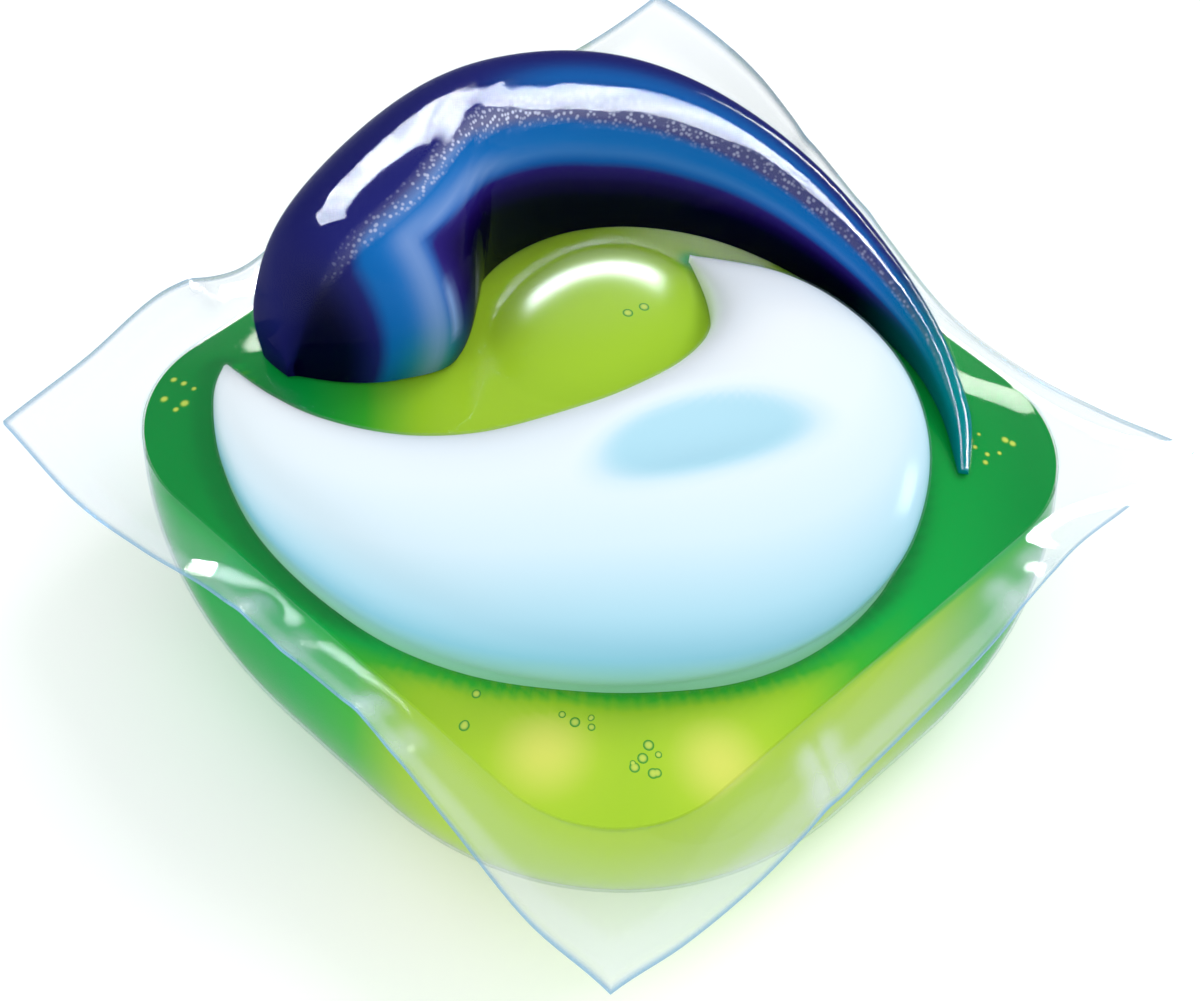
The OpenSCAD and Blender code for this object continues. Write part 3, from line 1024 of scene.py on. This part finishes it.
@dataclass
class Capsule:
    """The capsule: three films and three gels, each made in place of its CAD node."""

    pocket: Pocket
    blue: Chamber
    white: Chamber
    gel_gap: float = 0.03
    bubble_groups: tuple[tuple[float, float, float, int], ...] = (
        (-17.6, -15.6, 1.2, 6), (15.6, 14.8, 1.3, 8), (13.0, -15.6, 1.4, 5), (17.0, -14.6, 1.2, 7),
        (8.4, -18.4, 1.0, 3))
    painted_glow_spots: tuple[tuple[float, float], ...] = ((12.6, -17.4), (19.0, -11.2))
    highlight_ribs: tuple[int, int] = (12, 70)
    bubble_r: tuple[float, float] = (0.14, 0.3)
    bubble_rise: float = 0.024
    seal_share: float = 0.03
    foot_sink: float = 0.02

    def place(self, skin: Skin, layer: Layer, material: Material) -> Object:
        """Makes a piece, and has it stand for its CAD node.

        Args:
            skin: The piece's skin.
            layer: What the piece is.
            material: Its finish.

        Returns:
            The new object.
        """
        name, node, slot = layer.value
        piece = skin.make(name, material)
        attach(piece, "root")
        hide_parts(node)
        piece.visible_shadow = slot != "clear_film"
        piece.visible_diffuse = slot != "clear_film"
        return piece

    def seal_rings(self, lift: float) -> np.ndarray:
        """Rings of the seal round the pocket, at a height above it."""
        return self.pocket.flange_rings(np.linspace(0, self.seal_share, 3)[1:], lift)

    def land_rings(self, lift: float) -> np.ndarray:
        """Rings of the web and of the seal round it, at a height above the green gel."""
        return np.concatenate([self.pocket.web_rings(lift), self.seal_rings(lift)])

    def lower_film(self, material: Material) -> Object:
        """Makes the thermoformed pocket, up to the seal.

        Args:
            material: Its finish.

        Returns:
            The new object.
        """
        t = self.pocket.film_t
        rings = np.concatenate([self.pocket.belly_rings(t)[::-1], self.seal_rings(-t),
                                self.seal_rings(0)[::-1], self.pocket.belly_rings(0)])
        outer = np.zeros(rings.shape[:2])
        outer[:len(rings) // 2] = 1
        skin = Skin()
        skin.add_rings(rings, {"outer_face": outer})
        return self.place(skin, Layer.LOWER_FILM, material)

    def gathered_light(self, points: np.ndarray) -> np.ndarray:
        """Shapes the light and shade painted into the green gel: most light from the front corner to the
        back one, least beside.

        Args:
            points: Points of the gel's surface.

        Returns:
            How much painted light lies there, from 0 to 1.
        """
        ribs = self.white.arches(self.pocket, 0.0, 2 * self.pocket.film_t)[0]
        on_top = smooth(self.pocket.seal_z - 0.6, self.pocket.seal_z - 0.2, points[:, 2])
        diagonal = np.abs(points[:, 0] + points[:, 1]) / 2
        diagonal = np.where(points[:, 0] + points[:, 1] > 0, diagonal * (0.62 + 0.38 * on_top), diagonal)
        glow = 0.74 - 0.56 * smooth(5.5, 12.5, diagonal) - 0.14 * smooth(12.0, 17.0, diagonal) * on_top
        # Painted shade: a darker band on the gel along the white chamber's outer foot.
        glow -= 0.4 * on_top * hump(plan_gap(points, ribs[:, -1]), 0, 0.75)
        # Painted light: brighter low on the belly, along the diagonal from the front corner to the back
        # one.
        glow += 0.08 * (1 - on_top) * (1 - smooth(5.0, 9.0, diagonal))
        # Painted light: glow spots near the front corner.
        for x, y in self.painted_glow_spots:
            glow += 0.26 * on_top * hump(np.hypot(points[:, 0] - x, points[:, 1] - y), 0, 2.6)
        # Painted highlight: a bright line on the gel beside the white chamber's inner foot.
        highlight_gap = plan_gap(points, ribs[self.highlight_ribs[0]:self.highlight_ribs[1], 0])
        return np.clip(glow + 0.38 * on_top * hump(highlight_gap, 0.35, 0.25), 0, 1)

    def green_gel(self, material: Material) -> Object:
        """Makes the main dose, which fills the pocket up to the middle film.

        Args:
            material: Its finish.

        Returns:
            The new object.
        """
        top = self.pocket.web_rings(-self.gel_gap)[::-1][1:]
        rings = np.concatenate([self.pocket.belly_rings(-self.gel_gap)[::-1], top])
        glow = self.gathered_light(rings.reshape(-1, 3))
        skin = Skin()
        skin.add_rings(rings, {"glow": glow.reshape(rings.shape[:2])})
        return self.place(skin, Layer.GREEN, material)

    def middle_film(self, material: Material) -> Object:
        """Makes the web that closes the pocket, up to the seal.

        Args:
            material: Its finish.

        Returns:
            The new object.
        """
        skin = Skin()
        skin.add_rings(np.concatenate([self.land_rings(0), self.land_rings(self.pocket.film_t)[::-1]]))
        return self.place(skin, Layer.MIDDLE_FILM, material)

    def upper_film(self, material: Material) -> Object:
        """Makes the sheet over the swirl: its land, and the flange as the seal leaves it.

        Args:
            material: Its finish.

        Returns:
            The new object.
        """
        t = self.pocket.film_t
        out = np.linspace(self.seal_share + 0.02, 1, 18)
        under, over = self.land_rings(t), self.land_rings(2 * t)
        rings = np.concatenate([under, self.pocket.flange_rings(out, -t),
                                self.pocket.flange_rings(out, 2 * t)[::-1], over[::-1]])
        reach = np.concatenate([np.zeros(len(under)), out, out[::-1], np.zeros(len(over))])
        edge = np.repeat(smooth(0.965, 1.0, reach)[:, None], rings.shape[1], 1)
        outer = np.ones_like(edge)
        outer[:len(under)] = 0
        crease = np.abs(self.pocket.fold(self.pocket.way_round(self.pocket.cut_outline()))) / 0.4
        milky = 0.05 * smooth(0.04, 0.5, reach)
        milky += 0.09 * smooth(0.6, 0.78, reach) * (1 - smooth(0.88, 0.97, reach))
        veil = milky[:, None] + 0.2 * smooth(0.15, 0.5, reach)[:, None] * crease[None]
        x, y = rings[..., 0], rings[..., 1]
        inland = np.hypot(x, y) < self.pocket.half_w
        slack = np.where(inland, self.pocket.bean(x, y) / self.pocket.bean_h, 0)
        skin = Skin()
        skin.add_rings(rings, {"cut_edge": edge, "outer_face": outer, "veil": veil,
                               "slack": smooth(0.0, 0.3, slack)})
        return self.place(skin, Layer.UPPER_FILM, material)

    def chamber_film(self, chamber: Chamber, layer: Layer, material: Material,
                     start: float = 0.0, stop: float = 1.0) -> Object:
        """Makes the part of the upper film that is drawn up round a chamber.

        Args:
            chamber: The chamber.
            layer: What the piece is.
            material: Its finish.
            start: The first of its ribs, as a share of the chamber's ribs.
            stop: The last of them.

        Returns:
            The new object.
        """
        t = self.pocket.film_t
        last = chamber.stations - 1
        part = slice(round(start * last), round(stop * last) + 1)
        over, under = (chamber.arches(self.pocket, out, 2 * t - self.foot_sink)[0][part]
                       for out in (t, 0))
        shell = np.concatenate([over, under[:, ::-1]], axis=1)
        outer = np.zeros(shell.shape[:2])
        outer[:, :over.shape[1]] = 1
        skin = Skin()
        skin.add_rings(shell, {"outer_face": outer}, shell=True)
        return self.place(skin, layer, material)

    def air_bubbles(self, material: Material) -> Object:
        """Makes the air bubbles that lie against the films over the green gel, as shallow lenses.

        Args:
            material: Their finish.

        Returns:
            The new object.
        """
        draw = np.random.default_rng(7)
        spots = [(-3.5, 5.05, 0.3), (-3.25, 6.1, 0.3)]
        for x, y, spread, count in self.bubble_groups:
            places = draw.uniform(-1, 1, (count, 2)) * spread + (x, y)
            sizes = draw.uniform(*self.bubble_r, count)
            spots += [(px, py, size) for (px, py), size in zip(places, sizes)]
        turn = np.linspace(0, TURN, 20, endpoint=False)
        shares = np.array([0.05, 0.3, 0.55, 0.75, 0.9, 1.0])
        skin = Skin()
        for x, y, size in spots:
            plan_x = x + size * shares[:, None] * np.cos(turn)
            plan_y = y + size * shares[:, None] * np.sin(turn)
            ground = self.pocket.web_z(plan_x, plan_y) - self.gel_gap
            rise = self.bubble_rise * (1 - shares[:, None] ** 2)
            over = np.stack([plan_x, plan_y, ground + rise], axis=-1)
            under = np.stack([plan_x, plan_y, ground - 0.01 - 2 * rise], axis=-1)
            rim = np.broadcast_to(smooth(0.45, 0.85, shares)[:, None], plan_x.shape)
            skin.add_rings(np.concatenate([over, under[::-1]]), {"rim": np.concatenate([rim, rim[::-1]])})
        return self.place(skin, Layer.BUBBLES, material)

    def chamber_gel(self, chamber: Chamber, layer: Layer, gel: BlueGel | WhiteGel) -> Object:
        """Makes the dose of an upper chamber.

        Args:
            chamber: The chamber that it fills.
            layer: What the piece is.
            gel: Its finish.

        Returns:
            The new object.
        """
        rings, u, v = chamber.closed_rings(self.pocket, -self.gel_gap, 2 * self.pocket.film_t)
        shade = () if layer is Layer.BLUE else (chamber.dish_shade(rings[..., 0], rings[..., 1]),)
        skin = Skin()
        skin.add_rings(rings, gel.marks(u, v, *shade))
        return self.place(skin, layer, gel.material())


@dataclass(frozen=True)
class Studio:
    """The camera, lamps, world and floor of the picture. Sizes are in millimetres, angles in degrees."""

    azimuth: float = 38.8
    elevation: float = 50.1
    roll: float = 6.9
    distance: float = 160.0
    focal_px: float = 2905.6
    picture_w_px: float = 1200.0
    rim_right_px: float = 4.9
    rim_up_px: float = 63.1
    sensor: float = 36.0
    floor_r: float = 2500.0
    room_light: float = 0.74
    room_gloss: float = 0.6
    box_away: float = 300.0
    streak: float = 66.0

    def direction(self, azimuth: float, elevation: float) -> Vector:
        """Unit vector from the capsule towards a place, by its azimuth and elevation."""
        a, e = math.radians(azimuth), math.radians(elevation)
        return Vector((math.sin(a) * math.cos(e), -math.cos(a) * math.cos(e), math.sin(e)))

    def add_camera(self, target: Vector) -> None:
        """Adds the camera at the photograph's viewpoint.

        Args:
            target: The middle of the pocket's rim, in metres.
        """
        back = self.direction(self.azimuth, self.elevation)
        level = Vector((math.cos(math.radians(self.azimuth)), math.sin(math.radians(self.azimuth)), 0))
        tilt = math.radians(self.roll)
        right = level * math.cos(tilt) + back.cross(level) * math.sin(tilt)
        up = back.cross(right)
        forward = (-back * self.focal_px - right * self.rim_right_px - up * self.rim_up_px).normalized()
        right = (right - forward * right.dot(forward)).normalized()
        up = right.cross(forward)
        camera = bpy.data.objects.new("photo_camera", bpy.data.cameras.new("photo_camera"))
        camera.data.sensor_width = self.sensor
        camera.data.lens = self.focal_px * self.sensor / self.picture_w_px
        camera.data.clip_start = 0.005
        camera.data.clip_end = 20
        axes = Matrix((right, up, -forward)).transposed()
        camera.matrix_world = Matrix.Translation(target + back * self.distance * MM) @ axes.to_4x4()
        bpy.context.scene.collection.objects.link(camera)
        bpy.context.scene.camera = camera

    def add_lamp(self, name: str, azimuth: float, elevation: float, away: float, size: tuple[float, float],
                 radiance: float, colour: str = "#FFFFFF",
                 glint_on: list[Object] | None = None, over_all: bool = False) -> None:
        """Adds a flat softbox that faces the capsule.

        Args:
            name: Name of the lamp.
            azimuth: Direction of the lamp round the capsule.
            elevation: Direction of the lamp above the floor.
            away: Distance from the capsule.
            size: Width and height of the box.
            radiance: Brightness of its face, where 1 shows as white in a mirror.
            colour: Hex colour of its light.
            glint_on: The pieces in which the lamp shows only as a reflection. Without them it lights
                all that is matt and shows in no reflection.
            over_all: Whether its reflection isn't hidden by the other pieces.
        """
        data = bpy.data.lights.new(name, "AREA")
        data.shape = "RECTANGLE"
        data.size, data.size_y = size[0] * MM, size[1] * MM
        data.energy = radiance * math.pi * data.size * data.size_y
        data.color = linear(colour)[:3]
        lamp = bpy.data.objects.new(name, data)
        toward = self.direction(azimuth, elevation)
        lamp.matrix_world = (Matrix.Translation(Vector((0, 0, 15 * MM)) + toward * away * MM)
                             @ toward.to_track_quat("Z", "Y").to_matrix().to_4x4())
        lamp.visible_camera = False
        lamp.visible_transmission = False
        lamp.visible_diffuse = glint_on is None
        lamp.visible_glossy = glint_on is not None
        if glint_on:
            pieces = bpy.data.collections.new(name + "_pieces")
            for piece in glint_on:
                pieces.objects.link(piece)
            lamp.light_linking.receiver_collection = pieces
            if over_all:
                lamp.light_linking.blocker_collection = pieces
        bpy.context.scene.collection.objects.link(lamp)

    def add_soft_light(self) -> None:
        """Adds the two softboxes that light the capsule: the key from the right and behind, and a fill."""
        self.add_lamp("key_box", self.azimuth + 130, 52, 400, (160, 160), 6.5)
        self.add_lamp("front_fill", self.azimuth - 30, 36, 420, (320, 260), 1.5)

    def add_glints(self, head: Object, arch: Object, white_film: Object,
                   sheet: Object) -> None:
        """Adds the boxes that only show as reflections.

        A ring of them makes the long streak on the blue chamber, two windows behind shine on the land and
        the flange, and a box at the side shines on the white chamber.

        Args:
            head: The film over the thick end of the blue chamber.
            arch: The film over the rest of it.
            white_film: The film over the white chamber.
            sheet: The land and the flange.
        """
        left = [(-178, 50, 140, 150), (-154, 50, 140, 150), (-130, 50, 140, 150), (-106, 50, 140, 140),
                (-80, 44, 120, 150), (160, 47, 110, 100), (145, 44, 90, 70), (137, 39, 60, 60)]
        right = [(136, 36, 70, 60), (121, 33, 100, 80), (102, 36, 110, 120), (80, 40, 120, 180),
                 (55, 44, 130, 200), (28, 48, 130, 190), (0, 56, 130, 150), (-25, 64, 110, 90),
                 (-60, 66, 90, 60)]
        for where, boxes, pieces in (("left", left, [head]), ("right", right, [arch])):
            for number, (turn, elevation, width, height) in enumerate(boxes):
                self.add_lamp(f"streak_{where}_{number}", self.azimuth + turn, elevation, self.box_away,
                              (width, height), self.streak, glint_on=pieces)
        self.add_lamp("bean_window", self.azimuth - 174, 25, self.box_away, (200, 70), 90.0,
                      glint_on=[sheet], over_all=True)
        self.add_lamp("white_side", self.azimuth + 113, 8, self.box_away, (70, 100), 14.0,
                      glint_on=[white_film])
        self.add_lamp("back_window", self.azimuth + 178, 22, self.box_away, (310, 52), 30.0,
                      colour="#FFF8E6", glint_on=[sheet])

    def light_world(self) -> None:
        """Lights the room: white behind the films and in the picture, dimmer on the capsule."""
        world = bpy.data.worlds.new("studio_room")
        bpy.context.scene.world = world
        world.use_nodes = True
        tree = world.node_tree
        tree.nodes.clear()
        path = add_node(tree, "LightPath").outputs
        seen = add_node(tree, "Math", {0: path["Is Camera Ray"], 1: path["Is Transmission Ray"]},
                        operation="MAXIMUM")
        dim = add_node(tree, "MapRange", {"Value": path["Is Glossy Ray"], "To Min": self.room_light,
                                          "To Max": self.room_gloss})
        strength = add_node(tree, "MapRange", {"Value": seen, "To Min": dim, "To Max": 1.0})
        room = add_node(tree, "Background", {"Color": "#FFFFFF", "Strength": strength})
        add_node(tree, "OutputWorld", {"Surface": room})

    def add_floor(self, material: Material, steps: int = 96) -> None:
        """Adds the sheet of paper that the capsule rests on.

        Args:
            material: The paper's finish.
            steps: Number of points round its edge.
        """
        turn = np.arange(steps) / steps * TURN
        rings = [np.stack([np.cos(turn) * r, np.sin(turn) * r, np.zeros(steps)], 1)
                 for r in (60.0, 140.0, 260.0, self.floor_r)]
        far = np.repeat([[0.0], [0.0], [1.0], [1.0]], steps, axis=1)
        skin = Skin()
        skin.add_rings(np.stack(rings), {"far": far}, capped=False)
        skin.points.append(np.zeros((1, 3)))
        skin.marks["far"].append(np.zeros(1))
        skin.faces += [(len(rings) * steps, i, (i + 1) % steps) for i in range(steps)]
        skin.make("paper_floor", material)


def main() -> None:
    """Builds the capsule and its studio."""
    logging.basicConfig(level=logging.INFO, format="%(name)s: %(message)s")
    view = bpy.context.scene.view_settings
    view.view_transform = "Standard"
    pocket = Pocket()
    studio = Studio()
    studio.add_camera(Vector((0, 0, pocket.seal_z * MM)))
    studio.add_soft_light()
    studio.light_world()
    studio.add_floor(StudioFloor().material())
    capsule = Capsule(pocket, BLUE_CHAMBER, WHITE_CHAMBER)
    film = ClearFilm().material()
    soft_film = ClearFilm("cast_pva_film_milky", roughness=0.2, haze=0.02, glancing=0.3).material()
    capsule.lower_film(film)
    capsule.green_gel(GreenGel().material())
    capsule.middle_film(film)
    sheet = capsule.upper_film(film)
    blue_film = ClearFilm("cast_pva_film_blue", roughness=0.08, face_on=0.01, glancing=0.15, haze=0.0,
                           mirror_share=1.0).material()
    join = 0.413
    head = capsule.chamber_film(capsule.blue, Layer.BLUE_HEAD, blue_film, stop=join)
    arch = capsule.chamber_film(capsule.blue, Layer.BLUE_ARCH, blue_film, start=join)
    white_film = capsule.chamber_film(capsule.white, Layer.WHITE_DOME, soft_film)
    capsule.air_bubbles(AirBubble().material())
    capsule.chamber_gel(capsule.blue, Layer.BLUE, BlueGel())
    capsule.chamber_gel(capsule.white, Layer.WHITE, WhiteGel())
    studio.add_glints(head, arch, white_film, sheet)


if __name__ == "__main__":
    main()
